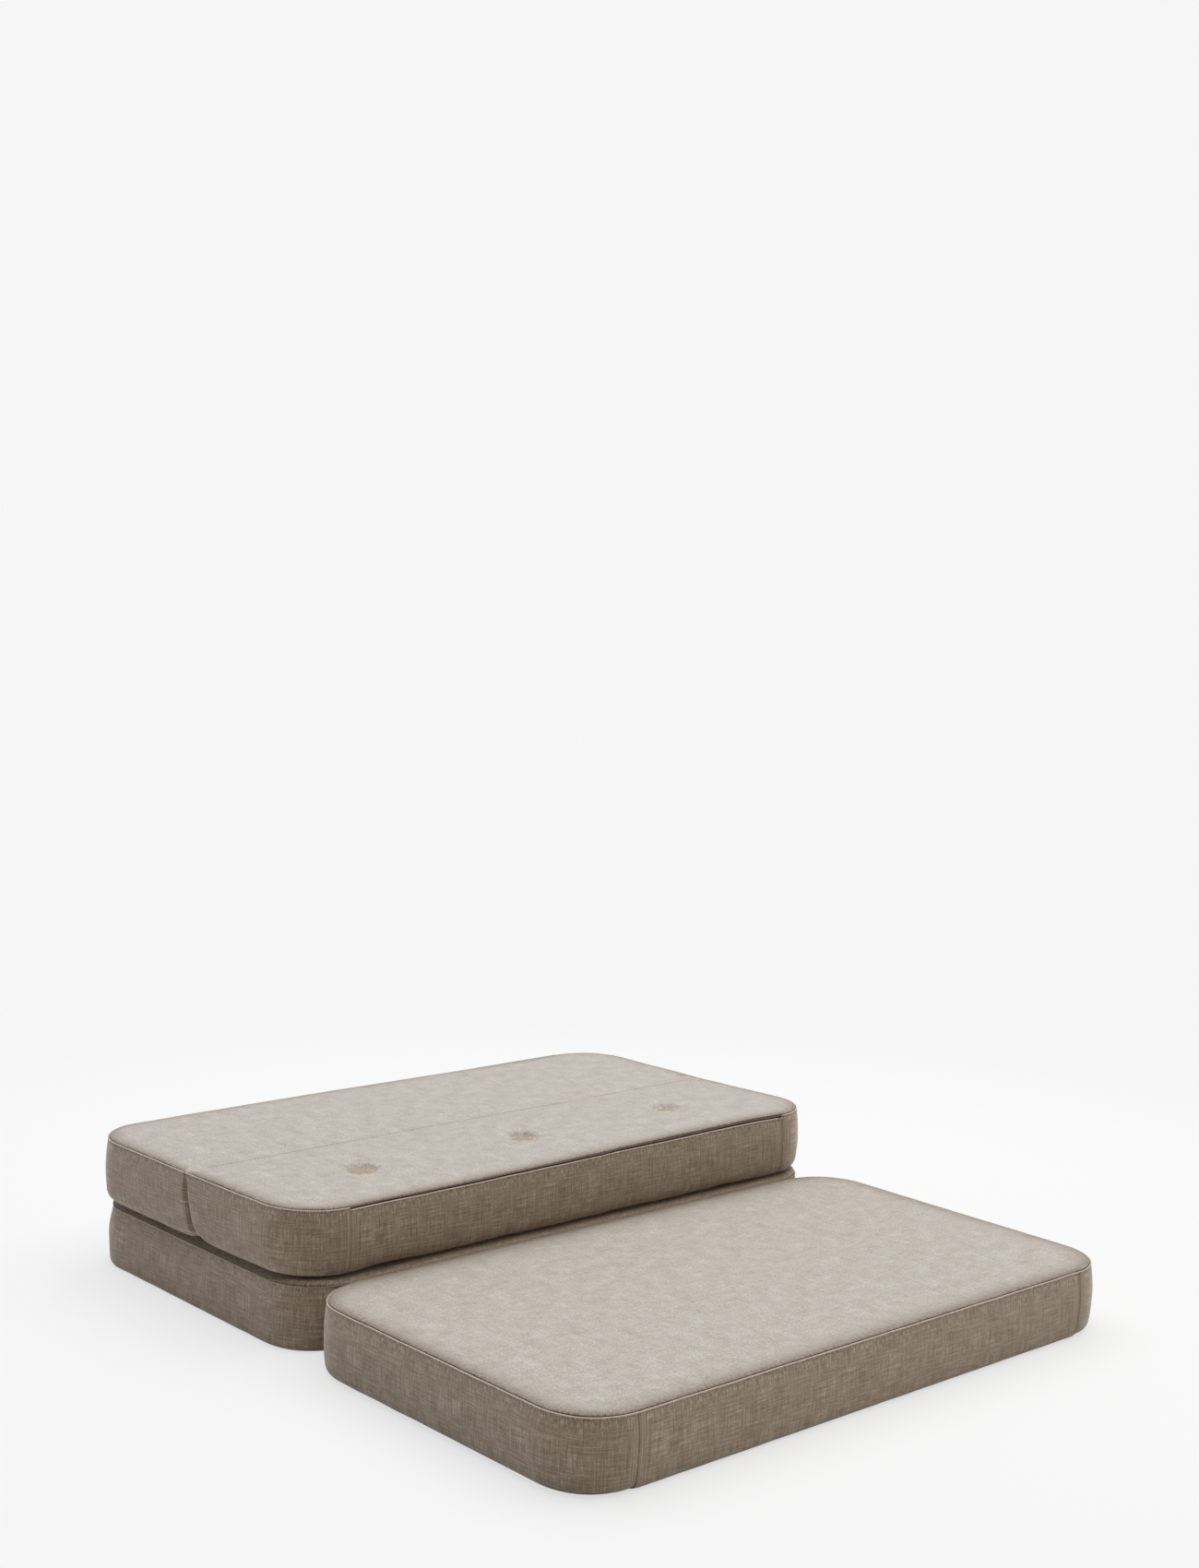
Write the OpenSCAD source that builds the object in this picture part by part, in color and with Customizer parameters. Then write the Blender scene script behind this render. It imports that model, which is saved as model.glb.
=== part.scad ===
// Fold-out foam sofa: a front section and a base section lie on the floor, and a
// back, cut into a lower and an upper half, lies folded forward on the base.
// X runs along the width, -Y is the front and Z is up. The origin is on the floor
// under the middle of the sofa. All sizes are in millimetres.

/* [Sections] */
// Width of every section at the top seam
section_w = 1200; // [1000:10:1500]
// Depth of the front section and of the base section
section_d = 670; // [560:10:850]
// Height of the front and base sections at the top seam
low_h = 116.4; // [95:0.2:150]
// Radius of the sections' corners seen from above
plan_r = 98; // [60:1:140]
// Gap between two sections that lie open side by side
open_gap = 19; // [16:0.5:30]

/* [Back] */
// Thickness of the two back halves at the top seam
back_h = 115.3; // [95:0.1:150]
// How far the back's front face lies behind the base's front face
back_setback = 10; // [6:0.5:20]
// How far the back's rear face lies in front of the base's rear face
rear_setback = 14.4; // [8:0.2:24]
// Slant of the cut between the halves, from upright
cut_angle = 16; // [8:1:22]
// Air in the cut between the two halves
cut_gap = 0.6; // [0.4:0.1:2]
// Radius of the cut's two lower edges
cut_roll_r = 12; // [8:1:16]
// Air between the base's top and the back that lies on it
layer_gap = 0.4; // [0.3:0.1:1]

/* [Covers] */
// Thickness of the sewn cover on the sides and underneath
cover_t = 3; // [2.4:0.1:4]
// Thickness of the top cover with the wadding under it
top_t = 16; // [15:0.5:22]
// How far the tops stand up in the middle
crown = 3.5; // [1:0.5:6]
// Width of the border over which a top rises to its crown
crown_run = 120; // [80:5:160]
// How far the sides swell between their seams
side_bulge = 3; // [1:0.5:5]
// Radius of the soft lower edge
foot_roll_r = 22; // [16:1:28]

/* [Zips] */
// Opening between the cover's two edges at a zip
zip_open = 5; // [4.5:0.1:7]
// Height of the cover's lip over a zip in a side
zip_lip = 2.5; // [2:0.1:4]
// Thickness of the zip tape
tape_t = 1; // [0.6:0.1:1.2]
// Width of the closed coil
coil_w = 2.6; // [2:0.1:3]
// Thickness of the coil on its tape
coil_t = 1.1; // [0.7:0.1:1.1]
// Length of the slider's body
slider_l = 8; // [6:0.5:12]
// Thickness of the slider's plate and puller
plate_t = 0.5; // [0.4:0.05:0.5]
// Running clearance between slider, coil and lips
zip_clear = 0.15; // [0.1:0.01:0.2]
// Length of the flat puller
puller_l = 10; // [6:0.5:16]
// Width of the flat puller
puller_w = 3.6; // [2.5:0.1:4]
// Distance of a closed slider from the end of its zip
slider_stop = 4; // [2:0.5:20]

/* [Tufts] */
// Number of tufts along the back's upper half
tuft_count = 3; // [1:1:3]
// Distance between two tufts
tuft_spacing = 360; // [260:5:400]
// Distance of the tufts from the back's front face
tuft_set = 162; // [150:1:180]
// Radius of the dimple at its rim
dimple_r = 34; // [30:1:40]
// Depth of the button's face under the top
button_sink = 9; // [6:0.5:10]
// Radius of the button
button_r = 20; // [14:0.5:22]
// Thickness of the button in the middle
button_t = 3.5; // [2.5:0.1:4]
// Thickness of the button at its edge
button_edge_t = 1.6; // [1:0.1:2]
// Air round the button and the twine
tuft_clear = 0.2; // [0.1:0.05:0.3]
// Diameter of the tufting twine
twine_d = 2.4; // [1.5:0.1:3]
// Radius of the washer that holds the twine under the foam
washer_r = 14; // [8:0.5:20]
// Thickness of the washer
washer_t = 2.5; // [1.5:0.1:4]

/* [Hinge tapes] */
// Thickness of the sewn hinge tapes
hinge_t = 0.8; // [0.5:0.1:1.2]
// Air between a hinge tape and the covers that it is sewn to
hinge_seat = 0.2; // [0.1:0.05:0.3]
// Where on the lower back's soft edge the rear hinge tape is sewn, from straight down
hinge_turn = 50; // [35:1:60]

/* [Hidden] */

cloth_side = "#8F8172";
cloth_top = "#C1BAB2";
foam_colour = "#EDE6C8";
zip_colour = "#3B342D";
metal_colour = "#B9B5AC";
button_colour = "#B09F86";
twine_colour = "#E4DDCB";
washer_colour = "#D8D2C4";

// Steps of a rounded corner, and of the soft lower edge
arc_steps = 8;
roll_steps = 3;
// Heights of the rings above the soft edge, as shares of the side above it
side_shares = [0.25, 0.5, 0.75, 0.93];
// Border rows of a top: their places as shares of the crown's border
border_shares = [0.07, 0.45];
// The dimple's rings between rim and floor: place and depth as shares
dimple_ring_shares = [[0, 0], [0.35, 0.3], [0.7, 0.8], [1, 1]];
// A dimple takes the place of a square of cells: cells on a side, and its half width in dimple radii
dimple_cells = 4;
dimple_square = 1.1;
// Points of the button's domed face: radius and height as shares
button_face = [[1, 0], [0.8, 0.5], [0.45, 0.88], [0, 1]];
// Sides of the twine, of the washer and of the button
twine_sides = 8;
washer_sides = 12;
button_sides = 48;
// A small overrun for cuts
over = 1;

// Places of the sections along Y, and of the layers along Z
front_y = -section_d - open_gap / 2;
base_rear_y = section_d + open_gap / 2;
back_front_y = open_gap / 2 + back_setback;
back_rear_y = base_rear_y - rear_setback;
fold_y = (back_front_y + back_rear_y) / 2;
half_d = fold_y - cut_gap / 2 - back_front_y;
back_z = low_h + layer_gap;
back_top_z = back_z + back_h;
// Half the straight stretch between two corners, where the zips and tapes run
straight = section_w / 2 - plan_r;

// A section is [depth, height, slant of its far side, zip in the side, tufts, crown]
FRONT = [section_d, low_h, 0, false, false, crown];
BASE = [section_d, low_h, 0, false, false, 0];
LOWER = [half_d, back_h, tan(cut_angle), true, false, crown];
UPPER = [half_d, back_h, -tan(cut_angle), true, true, crown];
function depth(s) = s[0];
function height(s) = s[1];
function slant(s) = s[2];
function has_cut(s) = s[2] != 0;
function zip_in_side(s) = s[3];
function has_tufts(s) = s[4];
function crown_of(s) = s[5];

// How far the cover stands outside the seam line at height z, and its inner face
function roll(z, r, t) = sqrt(max(0, pow(r - t, 2) - pow(r - z, 2))) - r;
function side_out(s, z) = z < foot_roll_r ? roll(z, foot_roll_r, 0)
    : side_bulge * sin(180 * (z - foot_roll_r) / (height(s) - foot_roll_r));
function side_in(z) = z < foot_roll_r ? roll(z, foot_roll_r, cover_t) : -cover_t;
function cut_out(z) = z < cut_roll_r ? roll(z, cut_roll_r, 0) : 0;
function cut_in(z) = z < cut_roll_r ? roll(z, cut_roll_r, cover_t) : -cover_t;

// Heights of the rings up to a top height, outside and inside the cover
roll_angles = [for (k = [0:roll_steps]) 90 * k / roll_steps];
function outer_z(s, top) = concat(
    [for (a = roll_angles) foot_roll_r * (1 - cos(a))],
    [for (q = side_shares) let (z = foot_roll_r + (height(s) - foot_roll_r) * q) if (z < top) z],
    [top]);
function inner_z(top) = concat(
    [for (a = roll_angles) foot_roll_r - (foot_roll_r - cover_t) * cos(a)], [top]);

// Points of a corner: r its radius, c its centre, a the angle at which it starts
function corner(c, r, a) = [for (k = [0:arc_steps])
    [c[0] + r * cos(a + 90 * k / arc_steps), c[1] + r * sin(a + 90 * k / arc_steps)]];
// Outline of a section at height z, so outside its seam line and co at its cut
function outline(s, z, so, co) = let (
    x = section_w / 2 + so,
    r = plan_r + so,
    far = depth(s) + (has_cut(s) ? slant(s) * (height(s) - z) + co : so),
    far_right = has_cut(s) ? [[x, far]] : corner([x - r, far - r], r, 0),
    far_left = has_cut(s) ? [[-x, far]] : corner([r - x, far - r], r, 90)
) concat(corner([x - r, r - so], r, 270), far_right, far_left, corner([r - x, r - so], r, 180));
function ring_out(s, z) = [for (p = outline(s, z, side_out(s, z), cut_out(z))) [p[0], p[1], z]];
function ring_in(s, z) = [for (p = outline(s, z, side_in(z), cut_in(z))) [p[0], p[1], z]];

function flat(lists) = [for (l = lists) each l];
function reversed(v) = [for (k = [len(v) - 1:-1:0]) v[k]];
// Two triangles for each cell between point rows a and b, which start at those indices
function strip(a, b, count) = flat([for (k = [0:count - 2])
    [[a + k, b + k, a + k + 1], [a + k + 1, b + k, b + k + 1]]]);

// A closed solid from rings of equal length, lowest first
module stack(rings) {
    n = len(rings[0]);
    loops = [for (r = rings) concat(r, [r[0]])];
    wraps = flat([for (k = [0:len(rings) - 2], i = [0:n - 1]) let (
        a = k * n + i, b = k * n + (i + 1) % n, c = a + n, d = b + n)
        [[a, c, b], [b, c, d]]]);
    ends = [[for (i = [0:n - 1]) i], [for (i = [n - 1:-1:0]) (len(rings) - 1) * n + i]];
    polyhedron(points = flat(rings), faces = concat(wraps, ends));
}

// A bent band: rings that run round its cross-section, open between last and first point
module band(rings) {
    n = len(rings[0]);
    m = len(rings);
    walls = flat([for (k = [0:m - 1], i = [0:n - 2]) let (
        a = k * n + i, b = a + 1, c = ((k + 1) % m) * n + i, d = c + 1)
        [[a, c, b], [b, c, d]]]);
    ends = [[for (k = [0:m - 1]) k * n + n - 1], [for (k = [m - 1:-1:0]) k * n]];
    polyhedron(points = flat(rings), faces = concat(walls, ends));
}

// Draws a cross-section in Y and Z and runs it along X, centred
module along_x(l) {
    rotate([90, 0, 90])
    linear_extrude(height = l, center = true)
    children();
}

// The foam block: it fills the cover up to the wadding
module foam(s) {
    difference() {
        stack([for (z = inner_z(height(s) - top_t)) ring_in(s, z)]);
        if (has_tufts(s)) at_tufts() {
            cylinder(h = height(s), d = twine_d + 2 * tuft_clear, $fn = twine_sides);
            cylinder(h = cover_t + washer_t, r = washer_r + tuft_clear, $fn = washer_sides);
        }
    }
}

// The side band: everything round the section but the straight stretch with the zip
module side_band(s) {
    band(concat(
        [for (z = outer_z(s, height(s))) ring_out(s, z)],
        [for (z = reversed(inner_z(height(s)))) ring_in(s, z)]));
}

// The straight stretch: one strip, or a strip and a lip with the zip between them
module zip_panel(s) {
    top = zip_in_side(s) ? height(s) - zip_lip - zip_open : height(s);
    lip_z = height(s) - zip_lip;
    along_x(2 * straight)
    polygon(concat(
        [for (z = outer_z(s, top)) [-side_out(s, z), z]],
        [for (z = reversed(inner_z(top))) [-side_in(z), z]]));
    if (zip_in_side(s))
        along_x(2 * straight)
        polygon([[-side_out(s, lip_z), lip_z], [0, height(s)], [cover_t, height(s)], [cover_t, lip_z]]);
}

// The bottom cover: flat, with a slot at the foot of the side where the zip is underneath
module bottom_cover(s) {
    difference() {
        stack([ring_out(s, 0), ring_in(s, cover_t)]);
        if (!zip_in_side(s))
            translate([-straight, foot_roll_r - over, -over])
            cube([2 * straight, zip_open + over, cover_t + 2 * over]);
    }
}

// Columns and rows of a top cover: corner points, tufts, border rows and the middle
function spread(places, offsets) = [for (p = places, o = offsets) p + o];
inner_w = section_w / 2 - cover_t;
inner_r = plan_r - cover_t;
corner_x = [for (k = [0:arc_steps]) -inner_w + inner_r * (1 - cos(90 * k / arc_steps))];
corner_y = [for (k = [0:arc_steps]) cover_t + inner_r * (1 - sin(90 * k / arc_steps))];
tuft_x = [for (k = [0:tuft_count - 1]) (k - (tuft_count - 1) / 2) * tuft_spacing];
tuft_steps = [for (k = [0:dimple_cells]) dimple_r * dimple_square * (2 * k / dimple_cells - 1)];
border = [for (q = border_shares) crown_run * q];
function columns(s) = concat(corner_x,
    has_tufts(s) ? spread(tuft_x, tuft_steps) : [-straight / 2, 0, straight / 2],
    [for (x = reversed(corner_x)) -x]);
function far_edge(s) = depth(s) - cover_t;
function rows(s) = concat([cover_t], [for (b = border) cover_t + b],
    has_tufts(s) ? spread([tuft_set], tuft_steps) : [plan_r + cover_t, far_edge(s) - plan_r],
    [for (b = reversed(border)) far_edge(s) - b], [far_edge(s)]);
near_rows = len(border) + 1;

// Where row y lies in the column at x: the border rows draw together in the corners
function edge_y(x) = lookup(min(x, -x), [for (k = [0:arc_steps]) [corner_x[k], corner_y[k]]]);
function ease(y, from, to, edge) = edge + (to - edge) * (y - from) / (to - from);
function top_y(s, x, y) = let (r = rows(s), n = len(r) - 1,
    near = r[near_rows], far = r[n - near_rows], e = edge_y(x))
    y < near ? ease(y, cover_t, near, e)
    : has_cut(s) || y <= far ? y
    : depth(s) - ease(depth(s) - y, cover_t, depth(s) - far, e);
function top_z(s, x, y) = let (
    e = min(inner_w - abs(x), y - edge_y(x), has_cut(s) ? far_edge(s) - y : depth(s) - edge_y(x) - y))
    height(s) + crown_of(s) * sin(90 * min(1, max(0, e) / crown_run));

// The dimple's floor holds the button, and lies this deep under the top
dimple_floor = button_sink + button_t;
dimple_floor_r = button_r + cover_t / 2;
module top_solid(s) {
    xs = columns(s);
    ys = rows(s);
    nx = len(xs);
    ny = len(ys);
    low = height(s) - top_t;
    grid = [for (x = xs, y = ys) let (yy = top_y(s, x, y)) [x, yy, top_z(s, x, yy)]];
    rim = concat([for (i = [0:nx - 1]) i * ny], [for (j = [1:ny - 1]) (nx - 1) * ny + j],
        [for (i = [nx - 2:-1:0]) i * ny + ny - 1], [for (j = [ny - 2:-1:1]) j]);
    foot = [for (k = rim) let (p = grid[k])
        [p[0], p[1] + (has_cut(s) && k % ny == ny - 1 ? slant(s) * top_t : 0), low]];
    foot_at = len(grid);
    middle_at = foot_at + len(foot);
    dimple_at = middle_at + 1;
    nr = len(rim);
    // The points round a dimple's square of cells, and the rings of as many points inside it
    first_col = arc_steps + 1;
    first_row = near_rows;
    side = dimple_cells;
    around = 4 * side;
    square = concat([for (k = [0:side - 1]) [k, 0]], [for (k = [0:side - 1]) [side, k]],
        [for (k = [side:-1:1]) [k, side]], [for (k = [side:-1:1]) [0, k]]);
    hole = has_tufts(s) ? tuft_count : 0;
    dimples = hole == 0 ? [] : [for (t = [0:hole - 1]) each concat(
        [for (q = dimple_ring_shares, c = square) let (
            a = atan2(c[1] - side / 2, c[0] - side / 2),
            r = dimple_r + (dimple_floor_r - dimple_r) * q[0])
            [tuft_x[t] + r * cos(a), tuft_set + r * sin(a),
                height(s) + crown_of(s) - dimple_floor * q[1]]],
        [[tuft_x[t], tuft_set, height(s) + crown_of(s) - dimple_floor]])];
    per = len(dimple_ring_shares) * around + 1;
    function in_dimple(i, j) = hole > 0 && j >= first_row && j < first_row + side
        && i >= first_col && i < first_col + (side + 1) * hole && (i - first_col) % (side + 1) < side;
    cells = [for (i = [0:nx - 2], j = [0:ny - 2]) if (!in_dimple(i, j)) let (
        a = i * ny + j, b = a + ny) each [[a, a + 1, b], [b, a + 1, b + 1]]];
    walls = [for (k = [0:nr - 1]) let (l = (k + 1) % nr)
        each [[rim[k], rim[l], foot_at + k], [rim[l], foot_at + l, foot_at + k]]];
    floor = [for (k = [0:nr - 1]) [foot_at + k, foot_at + (k + 1) % nr, middle_at]];
    rings = hole == 0 ? [] : [for (t = [0:hole - 1], q = [0:len(dimple_ring_shares)], k = [0:around - 1]) let (
        l = (k + 1) % around,
        base = dimple_at + t * per,
        corner_at = [for (c = square) (first_col + (side + 1) * t + c[0]) * ny + first_row + c[1]],
        a = q == 0 ? corner_at[k] : base + (q - 1) * around + k,
        b = q == 0 ? corner_at[l] : base + (q - 1) * around + l,
        c = base + q * around + k,
        d = base + q * around + l)
        each q == len(dimple_ring_shares) ? [[a, base + per - 1, b]] : [[a, c, b], [b, c, d]]];
    polyhedron(
        points = concat(grid, foot, [[0, depth(s) / 2, low]], dimples),
        faces = concat(cells, walls, floor, rings));
}

// The top cover with its wadding: crowned, and drawn into dimples at the tufts
module top_cover(s) {
    difference() {
        top_solid(s);
        if (has_tufts(s)) at_tufts()
            cylinder(h = height(s) + over, d = twine_d + 2 * tuft_clear, $fn = twine_sides);
    }
}

module at_tufts() {
    for (x = tuft_x) translate([x, tuft_set, 0]) children();
}

// Puts a zip drawn as depth along Y and opening along Z into its place
module at_zip(s) {
    if (zip_in_side(s))
        translate([0, 0, height(s) - zip_lip - zip_open]) children();
    else
        translate([0, foot_roll_r, 0]) mirror([0, 1, -1]) children();
}

// The zip: a tape between the cover's edges, with the closed coil on it
coil_face = cover_t - tape_t - coil_t;
module zip(s) {
    at_zip(s)
    along_x(2 * straight) {
        translate([cover_t - tape_t, 0]) square([tape_t, zip_open]);
        translate([coil_face, (zip_open - coil_w) / 2]) square([coil_t, coil_w]);
    }
}

// The slider: a plate over the coil with two flanges, and a flat puller
slider_face = coil_face - zip_clear - plate_t;
slider_x = straight - slider_stop - slider_l / 2;
module zip_slider(s) {
    flange = (zip_open - coil_w) / 2 - 2 * zip_clear;
    reach = cover_t - tape_t - zip_clear - slider_face;
    at_zip(s) translate([slider_x, 0, 0]) {
        along_x(slider_l) {
            translate([slider_face, zip_clear]) square([plate_t, zip_open - 2 * zip_clear]);
            translate([slider_face, zip_clear]) square([reach, flange]);
            translate([slider_face, zip_open - zip_clear - flange]) square([reach, flange]);
        }
        translate([-slider_l / 2 - puller_l, slider_face, (zip_open - puller_w) / 2])
            cube([puller_l, plate_t, puller_w]);
    }
}

// Each section is drawn with its zip side at Y = 0 and its far side at its depth
module in_front() { translate([0, front_y, 0]) children(); }
module in_base() { translate([0, base_rear_y, 0]) mirror([0, 1, 0]) children(); }
module in_lower() { translate([0, back_rear_y, back_z]) mirror([0, 1, 0]) children(); }
module in_upper() { translate([0, back_front_y, back_z]) children(); }

module base_foam() { color(foam_colour) in_base() foam(BASE); }
module base_top_cover() { color(cloth_top) in_base() top_cover(BASE); }
module base_side_band() { color(cloth_side) in_base() side_band(BASE); }
module base_zip_panel() { color(cloth_side) in_base() zip_panel(BASE); }
module base_bottom_cover() { color(cloth_side) in_base() bottom_cover(BASE); }
module base_zip() { color(zip_colour) in_base() zip(BASE); }
module base_zip_slider() { color(metal_colour) in_base() zip_slider(BASE); }

module front_foam() { color(foam_colour) in_front() foam(FRONT); }
module front_top_cover() { color(cloth_top) in_front() top_cover(FRONT); }
module front_side_band() { color(cloth_side) in_front() side_band(FRONT); }
module front_zip_panel() { color(cloth_side) in_front() zip_panel(FRONT); }
module front_bottom_cover() { color(cloth_side) in_front() bottom_cover(FRONT); }
module front_zip() { color(zip_colour) in_front() zip(FRONT); }
module front_zip_slider() { color(metal_colour) in_front() zip_slider(FRONT); }

module back_lower_foam() { color(foam_colour) in_lower() foam(LOWER); }
module back_lower_top_cover() { color(cloth_top) in_lower() top_cover(LOWER); }
module back_lower_side_band() { color(cloth_side) in_lower() side_band(LOWER); }
module back_lower_zip_panel() { color(cloth_side) in_lower() zip_panel(LOWER); }
module back_lower_bottom_cover() { color(cloth_side) in_lower() bottom_cover(LOWER); }
module back_lower_zip() { color(zip_colour) in_lower() zip(LOWER); }
module back_lower_zip_slider() { color(metal_colour) in_lower() zip_slider(LOWER); }

module back_upper_foam() { color(foam_colour) in_upper() foam(UPPER); }
module back_upper_top_cover() { color(cloth_top) in_upper() top_cover(UPPER); }
module back_upper_side_band() { color(cloth_side) in_upper() side_band(UPPER); }
module back_upper_zip_panel() { color(cloth_side) in_upper() zip_panel(UPPER); }
module back_upper_bottom_cover() { color(cloth_side) in_upper() bottom_cover(UPPER); }
module back_upper_zip() { color(zip_colour) in_upper() zip(UPPER); }
module back_upper_zip_slider() { color(metal_colour) in_upper() zip_slider(UPPER); }

// The buttons lie on the floors of the dimples
button_z = back_h + crown - dimple_floor + tuft_clear;
module tuft_buttons() {
    color(button_colour) in_upper() at_tufts()
    translate([0, 0, button_z])
    rotate_extrude($fn = button_sides)
    polygon(concat([[0, 0], [button_r, 0]], [for (p = button_face)
        [button_r * p[0], button_edge_t + (button_t - button_edge_t) * p[1]]]));
}

// The twine runs from the button through wadding and foam to the washer
module tuft_twines() {
    washer_top = cover_t + washer_t;
    color(twine_colour) in_upper() at_tufts()
    translate([0, 0, washer_top])
    cylinder(h = button_z - washer_top, d = twine_d, $fn = twine_sides);
}

module tuft_washers() {
    color(washer_colour) in_upper() at_tufts()
    translate([0, 0, cover_t + tuft_clear])
    cylinder(h = washer_t - tuft_clear, r = washer_r, $fn = washer_sides);
}

// The front hinge tape bridges the gap between the front and the base section
module front_hinge_tape() {
    half = open_gap / 2 - side_out(BASE, low_h - hinge_t) - hinge_seat;
    color(cloth_side)
    translate([-straight, -half, low_h - hinge_t])
    cube([2 * straight, 2 * half, hinge_t]);
}

// The rear hinge tape runs from the base's rear top seam to the lower back's soft edge
module rear_hinge_tape() {
    far_r = foot_roll_r + hinge_seat + hinge_t;
    sewn = [back_rear_y - foot_roll_r + far_r * sin(hinge_turn),
        back_z + foot_roll_r - far_r * cos(hinge_turn)];
    start = [base_rear_y, low_h + hinge_seat];
    way = sewn - start;
    side = [-way[1], way[0]] * (-hinge_t / norm(way));
    color(cloth_side)
    along_x(2 * straight)
    polygon([start, start + side, sewn + side, sewn]);
}

// The back's fold tape joins the two halves' top edges over the cut
module back_fold_tape() {
    half = cut_gap / 2 + cover_t - hinge_seat;
    color(cloth_top)
    translate([-inner_w, fold_y - half, back_top_z + hinge_seat])
    cube([2 * inner_w, 2 * half, hinge_t]);
}

base_foam();
base_top_cover();
base_side_band();
base_zip_panel();
base_bottom_cover();
base_zip();
base_zip_slider();
front_foam();
front_top_cover();
front_side_band();
front_zip_panel();
front_bottom_cover();
front_zip();
front_zip_slider();
back_lower_foam();
back_lower_top_cover();
back_lower_side_band();
back_lower_zip_panel();
back_lower_bottom_cover();
back_lower_zip();
back_lower_zip_slider();
back_upper_foam();
back_upper_top_cover();
back_upper_side_band();
back_upper_zip_panel();
back_upper_bottom_cover();
back_upper_zip();
back_upper_zip_slider();
tuft_buttons();
tuft_twines();
tuft_washers();
front_hinge_tape();
rear_hinge_tape();
back_fold_tape();
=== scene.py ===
import math

import bmesh
import bpy
from mathutils import Matrix, Vector, noise


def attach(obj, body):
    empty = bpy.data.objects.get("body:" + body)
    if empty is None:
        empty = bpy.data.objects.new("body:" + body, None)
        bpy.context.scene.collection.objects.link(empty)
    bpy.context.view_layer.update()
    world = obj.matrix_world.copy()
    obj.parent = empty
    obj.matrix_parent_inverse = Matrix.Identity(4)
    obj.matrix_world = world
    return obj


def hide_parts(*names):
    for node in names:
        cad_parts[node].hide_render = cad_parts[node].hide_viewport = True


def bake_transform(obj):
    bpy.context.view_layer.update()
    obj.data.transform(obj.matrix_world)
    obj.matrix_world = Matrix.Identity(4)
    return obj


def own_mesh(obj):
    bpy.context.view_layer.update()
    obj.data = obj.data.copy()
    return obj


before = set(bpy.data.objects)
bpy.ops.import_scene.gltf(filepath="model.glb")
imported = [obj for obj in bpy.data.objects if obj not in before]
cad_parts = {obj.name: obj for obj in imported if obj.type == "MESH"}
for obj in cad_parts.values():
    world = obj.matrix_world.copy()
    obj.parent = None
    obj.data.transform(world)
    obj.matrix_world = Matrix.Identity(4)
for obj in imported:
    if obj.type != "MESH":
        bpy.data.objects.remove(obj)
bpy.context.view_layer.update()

# The four foam blocks: cold-foamed polyurethane, cut with a wire from one slab, with the corners
# rounded in plan. The back's two blocks are one that is sawn through on a slant. Each block fills
# its sewn cover from the underside up to the wadding of the top.
WIDTH = 1.2  # between the seams of the two ends
CORNER = 0.098  # radius in plan
STRAIGHT = WIDTH / 2 - CORNER  # half the straight stretch between two corners
COVER = 0.003  # the foam's distance inside the cloth
TOP = 0.016  # the wadding on the foam, with its cloth
FOOT_ROLL = 0.022  # how far in and up the soft lower edge reaches
CUT_ROLL = 0.012  # the same at the sawn faces
CUT_CORNER = 0.004  # radius of the sawn corners at the top
BACK_FOOT = 0.1168  # height of the back's underside
CUT_SLANT = math.tan(math.radians(16))
TUFTS = [(-0.348, 0.17), (0.012, 0.17), (0.37, 0.17)]
BESIDE_SEAM = (0.0006, 0.0014, 0.0026, 0.004)  # where cloth has more points beside an upright seam
SEAM_OPEN, FOLD_OPEN = 0.0048, 0.038  # how far from a seam the less pinched ones begin, which also sets their painted seam shade
MERGE = 1e-5  # points nearer than this are one


def smooth(u):
    """Goes softly from 0 to 1 as u does."""
    u = min(1.0, max(0.0, u))
    return u * u * (3 - 2 * u)


def sunk(x, y, z):
    """How far the back's soft top has sunk at a point: it has at its rear right corner, and stands
    up at its front right one."""
    rear = 0.0035 * smooth((x + 0.2) / 0.6) * smooth((y - 0.1) / 0.5)
    at_end = 1 - 0.4 * smooth((x - 0.42) / 0.12)
    front = 0.006 * smooth((x + 0.3) / 0.7) * smooth((0.3 - y) / 0.25) * at_end
    return (rear - front) * smooth((z - BACK_FOOT) / 0.1)


class Section:
    """One cushion. Its own v runs from the side with the zip, at y near, to the far side. Its seam
    is at the height less sink and leans in by lean, and its lower edge is the fuller, the larger
    full is. Its left and right ends stand out by wider, at the near and at the far side.
    cut_round is the radius of the sawn corners low down."""

    def __init__(self, name, body, near, way, depth, foot, height, slant=0.0, cut_round=0.0,
                 crown=0.0011, sink=0.0, lean=0.0, swell=0.0055, wider=((0.0, 0.0), (0.0, 0.0)),
                 full=3.0, tufts=()):
        self.name, self.body, self.near, self.way = name, body, near, way
        self.depth, self.foot, self.height = depth, foot, height
        self.slant, self.cut_round = slant, cut_round
        self.crown, self.sink, self.lean, self.swell = crown, sink, lean, swell
        self.wider, self.full, self.tufts = wider, full, tufts
        self.zip_in_side = slant != 0
        self.seam_z = height - sink

    def place(self, x, v, z):
        """The point of the frame at a place in the cushion's own measures."""
        near, far = self.wider[x > 0]
        out = near + (far - near) * min(1.0, max(0.0, v / self.depth))
        x += math.copysign(1.0, x) * out * smooth((abs(x) - 0.4) / 0.12)
        y = self.near + self.way * v
        down = sunk(x, y, self.foot + z) if self.slant else 0.0
        return Vector((x, y, self.foot + z - down))

    def far_at(self, z):
        """Where its far side is at a height: a sawn one leans."""
        return self.depth + self.slant * (self.height - z)

    def far_corner(self, z=0.0):
        """The radius of its far corners at a height."""
        if not self.slant:
            return CORNER
        return CUT_CORNER + (self.cut_round - CUT_CORNER) * smooth((self.height - z) / 0.03)


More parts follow.
